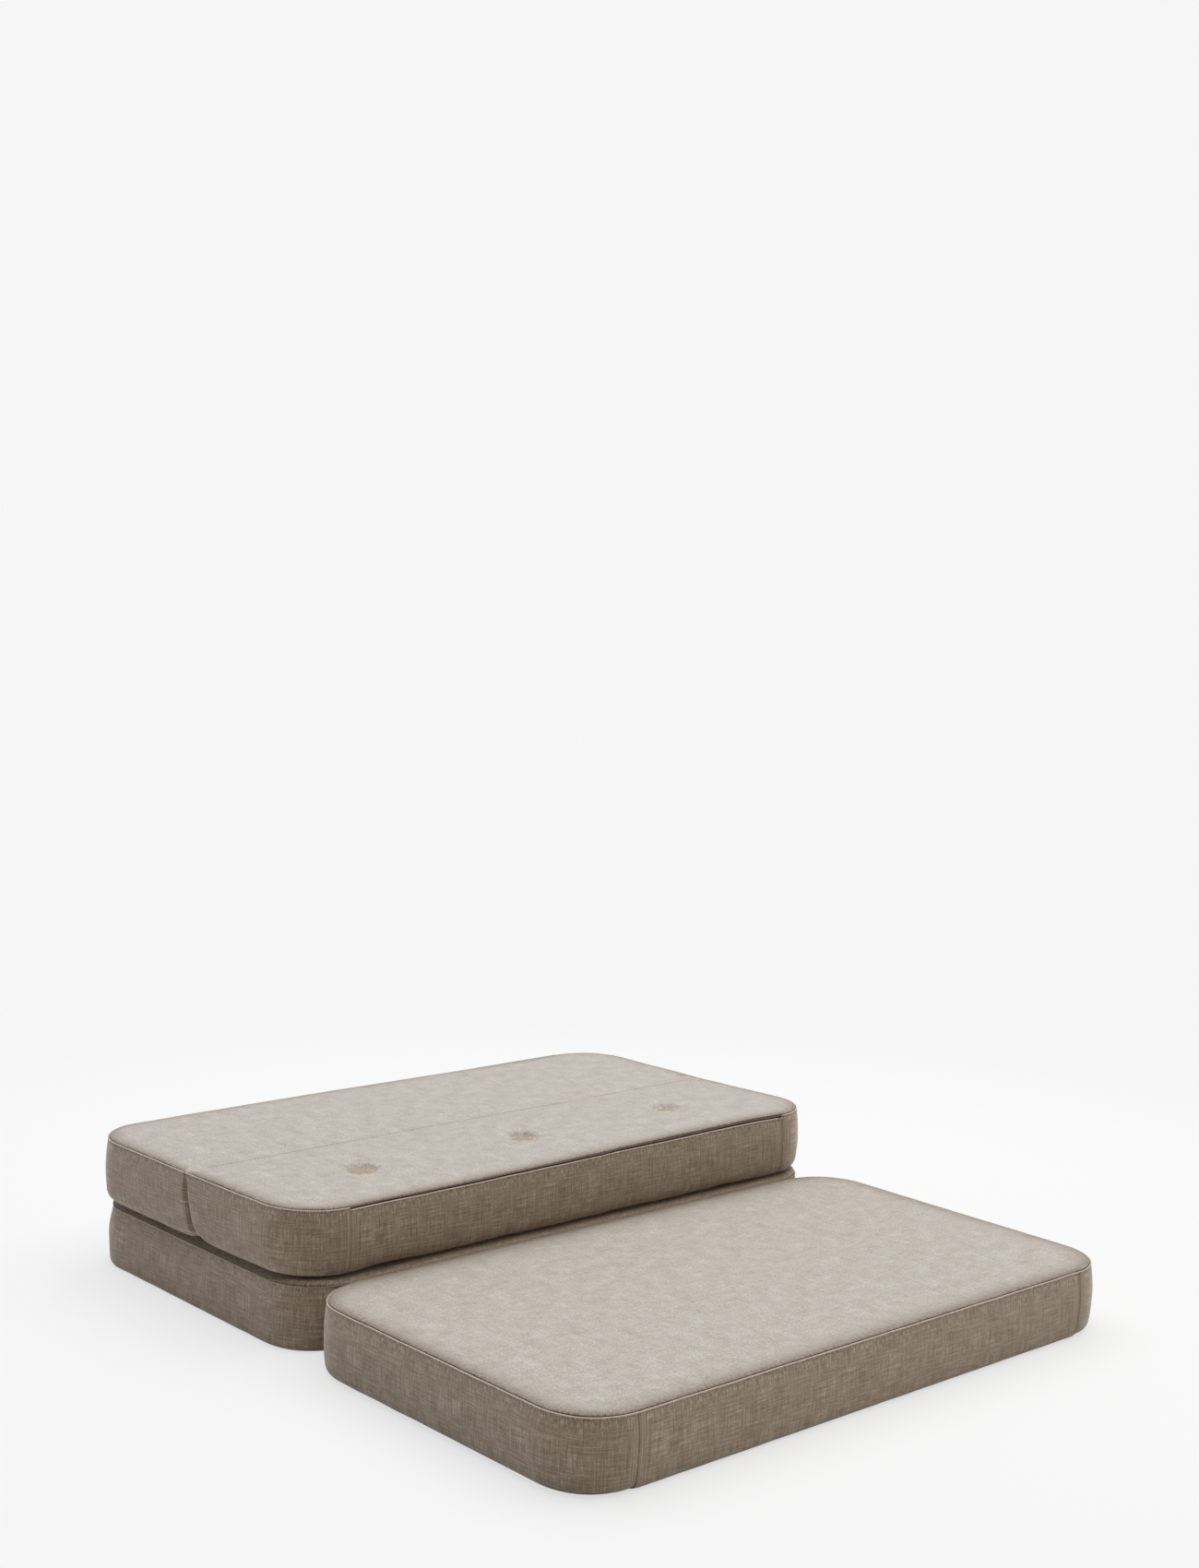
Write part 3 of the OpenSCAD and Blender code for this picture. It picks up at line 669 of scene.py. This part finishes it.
# The top covers: the same cloth, drawn paler than the sides, partly for its brushed face and partly
# as painted light on a face turned up to the lamp. It is quilted to a wadding of 14 mm, so that it
# rolls softly down to the seam and is crowned. The base's, under the back, has the plain face of the
# sides. Three tufts draw the upper back's top down round their buttons.
# The top's levels are painted shade that deepens over the last 5 cm before a seam, down to a warm brown, for
# the rolled edge turning away from the light.
top_cloth = cloth("brushed melange polyester cloth", ("#8E8478", "#B9B1A7", "#DDD8D0"), 0.135, 0.5, 0.85,
                  [(0, 0.1), (1.2, 0.15), (2.2, 0.36), (5, 0.42), (10, 0.53), (18, 0.7), (26, 0.83),
                   (36, 0.92), (48, 0.98)], "#5A3C14")
# A dark, hardly shining copy of the cloth for the faces in the groove at a top's seam: painted shade for that
# groove.
seam_groove_shade_cloth = cloth("melange polyester cloth, turned in", ("#3E3226", "#5A4A3A", "#75634F"), 0.18, 0.2,
                     0.05, [(0, 0.8), (8, 0.8)])
DIMPLE_R = 0.0212  # the floor of a dimple, on which the button lies
# The roll of the edge, in metres inside the seam line and above it, and the rows inside it
ROLL = [(0.0019, -0.0017), (0.0013, -0.0009), (0.0011, -0.0001), (0.0014, 0.0005), (0.0024, 0.001),
        (0.0042, 0.0014), (0.007, 0.0018), (0.011, 0.0021), (0.016, 0.0023)]
LEVEL = ROLL[-1][1]
TOP_ROWS = (0.022, 0.029, 0.037, 0.046, 0.055, 0.065, 0.075, 0.086, CORNER)
HIDDEN_ROWS = 3  # the rows under the seam


def tuft_drop(x, v):
    """How far the tufts draw the top down at a point: a steep wall round the button, a soft shoulder,
    and small gathers in them."""
    drop = 0.0
    for k, (tx, tv) in enumerate(TUFTS):
        r = math.hypot(x - tx, v - tv)
        if r > 0.07:
            continue
        turn = math.atan2(v - tv, x - tx)
        out = r - DIMPLE_R
        wall = 0.0072 * (1 - smooth(out / (0.0135 + 0.001 * math.sin(3 * turn + k))))
        shoulder = 0.0053 * (1 - smooth(out / (0.031 + 0.003 * math.sin(2 * turn + 2 * k))))
        gather = 0.0004 * math.sin(13 * turn + 2.1 * k) + 0.0003 * math.sin(7 * turn + k)
        drop += wall + shoulder + gather * math.sin(math.pi * min(1, max(0, out / 0.026)))
    return drop


def lift(x, v):
    """The height of the top of the loop's section over its edge roll at a point: the crown, an uneven
    surface, the dip along the fold and the tufts."""
    far = section.depth - v
    near_side = min(WIDTH / 2 - abs(x), v, far)
    reach = 0.022 if section.sink else 0.12
    share = min(1.0, max(0.0, near_side - section.lean) / reach)
    crown = section.crown * math.sin(math.pi / 2 * share)
    rough = 0.0004 * uneven(section, 0.09, x, v, 0) + 0.00025 * uneven(section, 0.03, x, v, 0, 3.0)
    dip = 0.0016 * (1 - smooth(far / 0.05)) * smooth(far / 0.006) if section.slant else 0.0
    return crown + min(rough, 0.0004) - dip - (tuft_drop(x, v) if section.tufts else 0.0)


def top_shift(x, v, z, nx, nv, s, length, row):
    """The shift of the points of that top: its edge follows the seam, and further in it is lifted.
    distances are the rows', inside the seam line."""
    fold_wave = 0.0007 * noise.noise(Vector((x * 45, 0.0, 0.0))) if section.slant and nv > 0.5 else 0.0
    out = 0.0004 * uneven(section, 0.03, x, v, section.height, 5.0) - section.lean
    fade = 1 - smooth((distances[row] - 0.0012) / 0.06)
    if row < HIDDEN_ROWS:
        out = out * fade + fold_wave * section.way
        return nx * out, nv * out, 0.0
    inside = min(1.0, max(0.0, (z - section.seam_z + 0.0013) / 0.003))
    out = out * fade + fold_wave * section.way * (1 - inside)
    seam_wave = 0.0006 * uneven(section, 0.05, x, v, 0.0, 9.0)
    return nx * out, nv * out, seam_wave * (1 - inside) + inside * lift(x, v)


for section in SECTIONS:
    spans = stretches(section)
    low = section.height - TOP + 0.0004 - section.sink
    places = [(0.0036, low), (0.0036, low + 0.006), (0.003, section.seam_z - 0.003)]
    places += [(d, section.seam_z + z) for d, z in ROLL]
    places += [(d, section.seam_z + LEVEL) for d in TOP_ROWS]
    distances = [d for d, z in places]
    rows = [ring(section, spans, d, z) for d, z in places]
    # The faces up to the fifth row, in the groove at the seam, take the dark copy of the cloth as painted
    # shade; the base's top has none.
    bm = sewn(section, rows, shift=top_shift, weave=straight_weave, seams=(HIDDEN_ROWS,),
              painted_shade_rows=0 if section.sink else 5)
    middle_sheet(bm, section, spans, section.seam_z + LEVEL, lift)
    bmesh.ops.remove_doubles(bm, verts=bm.verts, dist=MERGE)
    bmesh.ops.edgeloop_fill(bm, edges=[e for e in bm.edges if e.is_boundary])
    look = side_cloth if section.name == "base" else top_cloth
    top = finished(bm, section, section.name + "_top", look)
    top.data.materials.append(seam_groove_shade_cloth)
    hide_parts(section.name + "_top_cover")
    if section.name == "back_lower":
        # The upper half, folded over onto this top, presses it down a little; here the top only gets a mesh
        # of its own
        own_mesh(top)

# The zips: a woven nylon tape with a coil of nylon loops on it, closed end to end. They let the
# covers off for washing.
ZIP_OPEN = 0.005  # the opening between the cloth's two edges
ZIP_STEPS = 120  # of the tape, along it
COIL_PITCH, COIL_COUNT = 0.0015, 668

tape_material, tree, shader = material("nylon zip tape", 0.85, Specular_IOR_Level=0.2)
spot = node(tree, "TexCoord").outputs["Object"]
twill = node(tree, "TexWave", {"Vector": spot, "Scale": 420.0, "Distortion": 1.0}, bands_direction="DIAGONAL")
colour = tinted(tree, twill.outputs["Fac"], [linear("#2E2721"), linear("#463C33")])
tree.links.new(colour, shader.inputs["Base Color"])
bumped(tree, shader, twill.outputs["Fac"], 0.4, 0.0002)

coil_material = mottled("nylon zip coil", 0.5, "#3A2C20", "#5F4B39", 900.0, 2.0, Specular_IOR_Level=0.3)[0]


def zip_place(section, x, across, depth):
    """A point of a zip: across its opening from 0 to ZIP_OPEN, and depth inside the cloth's face."""
    if section.zip_in_side:
        z = section.height - 0.0005 - ZIP_OPEN + across + zip_drop(section, x)
        return section.place(x, depth + 0.0003, z)
    return section.place(x, FOOT_ROLL + across, depth)


for section in SECTIONS:
    bm = bmesh.new()
    grid = bmesh.ops.create_grid(bm, x_segments=ZIP_STEPS, y_segments=4, size=1)
    for k, vert in enumerate(grid["verts"]):
        row, col = divmod(k, ZIP_STEPS + 1)
        x = (2 * col / ZIP_STEPS - 1) * STRAIGHT
        vert.co = zip_place(section, x, ZIP_OPEN * row / 4, 0.0022 + 0.0001 * (row % 2))
    bmesh.ops.solidify(bm, geom=bm.faces, thickness=-0.0006)
    bmesh.ops.recalc_face_normals(bm, faces=bm.faces)
    tape = added(bm, section.name + "_zip_tape", tape_material)
    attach(tape, section.body)
    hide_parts(section.name + "_zip")

    # One turn of the coil is two rounded links that reach past the middle, repeated every 1.5 mm
    bm = bmesh.new()
    for side in (0, 1):
        link = bmesh.ops.create_uvsphere(bm, u_segments=6, v_segments=5, radius=1)["verts"]
        for vert in link:
            along, across, out = vert.co
            x = -STRAIGHT + 0.001 + COIL_PITCH / 2 * side + 0.00042 * along
            middle = ZIP_OPEN / 2 + (0.00035 if side else -0.00035)
            vert.co = zip_place(section, x, middle + 0.00095 * across, 0.00145 + 0.00055 * out)
    bmesh.ops.recalc_face_normals(bm, faces=bm.faces)
    coil = added(bm, section.name + "_zip_coil", coil_material)
    repeat = coil.modifiers.new("links", "ARRAY")
    repeat.count, repeat.use_relative_offset, repeat.use_constant_offset = COIL_COUNT, False, True
    repeat.constant_offset_displace = (COIL_PITCH, 0, 0)
    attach(coil, section.body)
    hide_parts(section.name + "_zip")

# The sliders: a small die-cast body that rides on the coil, with a flat loop as its pull, closed at
# the right end of each zip. Zinc, plated dark.
SLIDER_LONG = 0.008
SLIDER_X = STRAIGHT - 0.004 - SLIDER_LONG / 2
PULL_THICK = 0.0005
# Each part of the body: its middle across the zip, its width, its depth inside the cloth's face and
# its thickness
PLATE = [(ZIP_OPEN / 2, 0.0044, 0.0004, 0.0006)]
FLANGES = [(across, 0.0005, 0.0011, 0.0012) for across in (0.00045, ZIP_OPEN - 0.00045)]
NECK = [(ZIP_OPEN / 2, 0.0009, 0.0022, 0.0034)]
# The bridge on the plate that holds the pull, and the pull, a flat loop that lies along the zip:
# the middle along it, the length, the width, the hole's width and the depth
LOOPS = ((-0.001, 0.0042, 0.0016, 0.0, -0.0003), (-0.0075, 0.0092, 0.0036, 0.0022, 0.0001))

slider_material, tree, shader, spot, wear = mottled(
    "zinc die-cast, dark nickel plated", 0.34, "#57514B", "#A39C92", 600.0, 3.0, Metallic=1.0)
tree.links.new(ranged(tree, wear, 0.0, 1.0, 0.25, 0.5), shader.inputs["Roughness"])


def verts_of(geom):
    """The points among what a bmesh operation gives."""
    return [g for g in geom if isinstance(g, bmesh.types.BMVert)]


def edges_at(verts):
    """The edges that meet at points."""
    return list({e for v in verts for e in v.link_edges})


for section in SECTIONS:
    bm = bmesh.new()
    # The body is a plate with its edges softened, over two flanges. The upper back's stands in
    # front of the cloth's two edges, on a neck that runs in the slot between them.
    proud = 0.0034 if section.tufts else 0.0
    for across, wide, depth, thick in PLATE + (NECK if proud else FLANGES):
        cube = bmesh.ops.create_cube(bm, size=1)["verts"]
        bmesh.ops.scale(bm, vec=(SLIDER_LONG, wide, thick), verts=cube)
        bmesh.ops.translate(bm, vec=(0, across, depth), verts=cube)
        bmesh.ops.bevel(bm, geom=edges_at(cube), offset=0.00018, segments=2, affect="EDGES", profile=0.5,
                        material=-1)
    for centre, length, wide, hole, level in LOOPS:
        disc = bmesh.ops.create_circle(bm, cap_ends=True, segments=28, radius=0.5)["verts"]
        for vert in disc:
            squared = max(abs(vert.co.x), abs(vert.co.y)) ** 0.15
            vert.co = (vert.co.x * length, vert.co.y * wide, 0)
        rim = face = list({f for v in disc for f in v.link_faces})
        if hole:
            inner = bmesh.ops.inset_region(bm, faces=face, thickness=(wide - hole) / 2, use_even_offset=True)
            bmesh.ops.delete(bm, geom=face, context="FACES_ONLY")
            rim = inner["faces"]
        thick = verts_of(bmesh.ops.extrude_face_region(bm, geom=rim)["geom"])
        bmesh.ops.translate(bm, vec=(0, 0, -PULL_THICK), verts=thick)
        part = set(disc) | set(thick) | {v for f in rim for v in f.verts}
        valid = [v for v in part if v.is_valid]
        bmesh.ops.translate(bm, vec=(centre, ZIP_OPEN / 2, level + 0.0002), verts=valid)
    # The slider slides straight, so where the upper back's edge has risen it hangs a little under the zip
    risen = min(0.0, sunk(SLIDER_X, section.near, ZIP_Z)) if section.zip_in_side else 0.0
    aside = (1 - ZIP_LAG) * risen
    for vert in bm.verts:
        along, across, depth = vert.co
        vert.co = zip_place(section, SLIDER_X + along, across + aside, depth - proud)
    bmesh.ops.recalc_face_normals(bm, faces=bm.faces)
    pull = added(bm, section.name + "_zip_pull", slider_material, rounded=False)
    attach(pull, section.name + "_zip_slider")
    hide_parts(section.name + "_zip_slider")

# The tufts: a domed button covered in tan leather lies on the floor of each dimple. A twisted
# polyester twine runs from it through the foam to a plastic washer above the underside.
upper = SECTIONS[3]
BUTTON_R = 0.021
BUTTON_Z = upper.height + 0.0035 - 0.0125 + 0.0002
DOME = ((0.97, 0.0001), (1.0, 0.0005), (1.0, 0.0011), (0.975, 0.0016), (0.9, 0.0021), (0.75, 0.0027),
        (0.55, 0.0031), (0.3, 0.0034), (0.1, 0.0035))  # shares of its radius, and heights
TWINE_R, TWINE_LOW = 0.0012, COVER + 0.0025
TWINE_STEPS, TWIST = 60, math.radians(20)  # the twist of each step
WASHERS = ((-0.36, 0.162), (0.0, 0.162), (0.36, 0.162))

leather, tree, shader, spot, tone = mottled(
    "tan split leather", 0.6, "#8C7B61", "#A49279", 90.0, 4.0, Specular_IOR_Level=0.35)
grain = node(tree, "TexVoronoi", {"Vector": spot, "Scale": 900.0}, feature="DISTANCE_TO_EDGE")
bumped(tree, shader, grain.outputs["Distance"], 0.35, 0.0003)


def grown(bm, loop):
    """Extrudes a loop of edges; gives its new points and the new loop."""
    geom = bmesh.ops.extrude_edge_only(bm, edges=loop)["geom"]
    verts = verts_of(geom)
    edges = [g for g in geom if isinstance(g, bmesh.types.BMEdge) and all(v in verts for v in g.verts)]
    return verts, edges


def closed(bm, *loops):
    """Fills the two ends, and gives the points that weren't there at the last call."""
    for loop in loops:
        bmesh.ops.edgeloop_fill(bm, edges=loop)
    made = [v for v in bm.verts if not v.tag]
    for vert in made:
        vert.tag = True
    return made


bm = bmesh.new()
for tx, tv in TUFTS:
    first = edges_at(bmesh.ops.create_circle(bm, segments=48, radius=BUTTON_R * 0.9)["verts"])
    loop = first
    for r, z in DOME:
        verts, loop = grown(bm, loop)
        for vert in verts:
            turn = math.atan2(vert.co.y, vert.co.x)
            pleat = 1 + 0.006 * math.sin(16 * turn) * (0.5 < r < 0.99)
            vert.co = (BUTTON_R * r * pleat * math.cos(turn), BUTTON_R * r * pleat * math.sin(turn), z)
    for vert in closed(bm, loop, first):
        vert.co = upper.place(tx + vert.co.x, tv + vert.co.y, BUTTON_Z + vert.co.z)
bmesh.ops.recalc_face_normals(bm, faces=bm.faces)
buttons = added(bm, "tuft_leather_buttons", leather)
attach(buttons, upper.body)
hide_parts("tuft_buttons")

twine_material = mottled("polyester twine", 0.8, "#C9C0AA", "#EFE9DA", 1800.0, 3.0,
                         Specular_IOR_Level=0.25)[0]

bm = bmesh.new()
for (tx, tv), (washer_x, washer_v) in zip(TUFTS, WASHERS):
    strand = bmesh.ops.create_circle(bm, cap_ends=False, segments=18, radius=TWINE_R)["verts"]
    first = edges_at(strand)
    loop = first
    for vert in strand:
        lobe = 0.84 + 0.16 * abs(math.cos(1.5 * math.atan2(vert.co.y, vert.co.x)))
        vert.co = (tx + vert.co.x * lobe, tv + vert.co.y * lobe, TWINE_LOW)
    step = (BUTTON_Z - TWINE_LOW) / TWINE_STEPS
    for k in range(TWINE_STEPS):
        verts, loop = grown(bm, loop)
        bmesh.ops.translate(bm, vec=(0, 0, step), verts=verts)
        bmesh.ops.rotate(bm, cent=(tx, tv, 0), matrix=Matrix.Rotation(TWIST, 3, "Z"), verts=verts)
    # The washers lie 13 to 14 mm beside the buttons, so the twines run a little aslant
    for vert in closed(bm, loop, first):
        aside = (BUTTON_Z - vert.co.z) / (BUTTON_Z - TWINE_LOW)
        x, v = vert.co.x + (washer_x - tx) * aside, vert.co.y + (washer_v - tv) * aside
        vert.co = upper.place(x, v, vert.co.z)
bmesh.ops.recalc_face_normals(bm, faces=bm.faces)
twines = added(bm, "tuft_twisted_twines", twine_material)
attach(twines, upper.body)
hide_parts("tuft_twines")

washer_material = mottled("moulded polypropylene", 0.45, "#D2CCBC", "#E2DDD0", 120.0, 3.0)[0]
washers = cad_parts["tuft_washers"]
washers.data.materials.clear()
washers.data.materials.append(washer_material)

# The hinge tapes: doubled strips of the same cloth, sewn into the seams of two neighbouring
# sections. The fold tape between the back's halves is a pinkish binding that shows as a fine,
# uneven line in the dip on top.
TAPE_THICK = 0.0007
TAPE_STEPS = 180
binding = cloth("pinkish cotton binding", ("#86695D", "#A98F83", "#C7B1A6"), 0.15, 0.5, 0.4, [(0, 1), (8, 1)])
TAPES = [
    # Name, its two bodies, half length, cross-section between the bodies, cloth, slot, what holds it
    ("front_hinge_tape", "front_section", "base_section", STRAIGHT,
     [(-0.0092, 0.1161), (-0.0066, 0.1149), (-0.0036, 0.1136), (0.0, 0.1122), (0.004, 0.1108),
      (0.008, 0.1098), (0.0118, 0.1091), (0.015, 0.1082)],
     side_cloth, "side_cloth", ["front_boxing", "base_boxing"]),
    ("rear_hinge_tape", "base_section", "back_lower_half", STRAIGHT,
     [(0.665, 0.1084), (0.6675, 0.1112), (0.6678, 0.115), (0.6668, 0.119), (0.6645, 0.1222),
      (0.6605, 0.1247)],
     side_cloth, "side_cloth", ["base_boxing", "back_lower_underside"]),
    ("back_fold_tape", "back_upper_half", "back_lower_half", WIDTH / 2 - 0.0045,
     [(0.338, 0.2302), (0.3385, 0.2315), (0.3397, 0.232), (0.341, 0.2323), (0.3423, 0.2324),
      (0.3436, 0.2323), (0.3449, 0.232), (0.3461, 0.2315), (0.3466, 0.2302)],
     binding, "top_cloth", ["back_upper_top", "back_lower_top"]),
]
for name, first_body, second_body, half, profile, tape_cloth, tape_slot, holders in TAPES:
    bm = bmesh.new()
    grid = bmesh.ops.create_grid(bm, x_segments=TAPE_STEPS, y_segments=len(profile) - 1, size=1)["verts"]
    wide = sum(math.dist(a, b) for a, b in zip(profile, profile[1:]))
    weave_map, seam_map = bm.loops.layers.uv.new("weave"), bm.loops.layers.uv.new("seam")
    spots = {}
    for k, vert in enumerate(grid):
        row, col = divmod(k, TAPE_STEPS + 1)
        x = (2 * col / TAPE_STEPS - 1) * half
        y, z = profile[row]
        wave = 0.0003 * noise.noise(Vector((x * 22, y * 60, len(name))))
        vert.co = (x, y, z - sunk(x, y, z) + wave)
        spots[vert] = (x, wide * row / (len(profile) - 1))
    for face in bm.faces:
        for loop in face.loops:
            loop[weave_map].uv = spots[loop.vert]
            loop[seam_map].uv = (spots[loop.vert][0], 0.02)
    tape = added(bm, name + "_cloth", tape_cloth)
    tape.modifiers.new("cloth thickness", "SOLIDIFY").thickness = TAPE_THICK
    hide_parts(name)
    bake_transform(tape)

# The studio: a pale floor that runs on as the backdrop, one wide soft light from above and behind,
# as a light tent gives, and a dim room all round.
PAPER = "#F6F6F6"


def seen_rays(tree):
    """1 for what the camera sees itself, mirrored or through glass, and 0 for the light on things."""
    rays = node(tree, "LightPath").outputs
    seen = maths(tree, "MAXIMUM", rays["Is Camera Ray"], rays["Is Glossy Ray"])
    return maths(tree, "MAXIMUM", seen, rays["Is Transmission Ray"])


floor_material, tree, shader = material("pale studio paper", 0.9, Specular_IOR_Level=0.1)
shader.inputs["Base Color"].default_value = linear("#EDEDED")
paper = node(tree, "Emission", {"Color": linear(PAPER), "Strength": 1.0})
spot = node(tree, "TexCoord").outputs["Object"]
away = node(tree, "VectorMath", {0: spot}, operation="LENGTH").outputs["Value"]
share = ranged(tree, away, 1.2, 2.6, 0.72, 1.0, interpolation_type="SMOOTHSTEP")
part = maths(tree, "MULTIPLY", seen_rays(tree), share)
mix = node(tree, "MixShader", {0: part, 1: shader.outputs[0], 2: paper.outputs[0]})
tree.links.new(mix.outputs[0], tree.nodes["Material Output"].inputs["Surface"])
bm = bmesh.new()
bmesh.ops.create_grid(bm, x_segments=2, y_segments=2, size=60)
floor = added(bm, "studio_floor", floor_material, rounded=False)
floor.location = (0, 0, -0.0005)

world = bpy.data.worlds.new("studio")
bpy.context.scene.world = world
world.use_nodes = True
tree = world.node_tree
way = node(tree, "TexCoord").outputs["Generated"]
front = node(tree, "VectorMath", {0: way, 1: (-0.67, -0.74, 0.0)}, operation="DOT_PRODUCT").outputs["Value"]
dim = ranged(tree, front, 0.0, 0.45, 0.77, 0.0)
# The room is cooler on the left and brighter on the right
aside = node(tree, "VectorMath", {0: way, 1: (0.37, -0.335, 0.0)}, operation="DOT_PRODUCT").outputs["Value"]
sides = tinted(tree, maths(tree, "ADD", aside, 0.5),
               [(0.75, 0.78, 0.94, 1.0), (0.71, 0.71, 0.71, 1.0), (1.0, 0.97, 0.93, 1.0)])
dim = node(tree, "VectorMath", {0: sides, "Scale": dim}, operation="SCALE").outputs[0]
room = between(tree, seen_rays(tree), dim, linear(PAPER), "RGBA")
tree.links.new(room, tree.nodes["Background"].inputs["Color"])

lamp = bpy.data.lights.new("light tent", "AREA")
lamp.shape, lamp.size, lamp.energy = "SQUARE", 8.0, 400.0
lamp.color = (1.0, 0.995, 0.985)
tent = bpy.data.objects.new("light tent", lamp)
tent.location = (1.6, 0.7, 5.0)
tent.visible_camera = False
bpy.context.scene.collection.objects.link(tent)

# The camera stands where the photograph's did, 4 m from the sofa's middle and 1.3 m high, and is
# turned by less than two degrees on its axis.
azimuth, elevation, tilt = (math.radians(a) for a in (-42.147, 5.952, 1.88))
level = math.cos(elevation)
back = Vector((math.sin(azimuth) * level, -math.cos(azimuth) * level, math.sin(elevation)))
right = Vector((math.cos(azimuth), math.sin(azimuth), 0))
above = back.cross(right)
across = right * math.cos(tilt) + above * math.sin(tilt)
upright = above * math.cos(tilt) - right * math.sin(tilt)
turned = Matrix((across, upright, back)).transposed().to_4x4()
eye = bpy.data.cameras.new("camera")
eye.lens, eye.sensor_width, eye.clip_end = 51.335, 36.0, 200.0
camera = bpy.data.objects.new("camera", eye)
camera.matrix_world = Matrix.Translation((-2.5622, -2.8295, 1.2926)) @ turned
bpy.context.scene.collection.objects.link(camera)
bpy.context.scene.camera = camera
bpy.context.scene.view_settings.view_transform = "Standard"
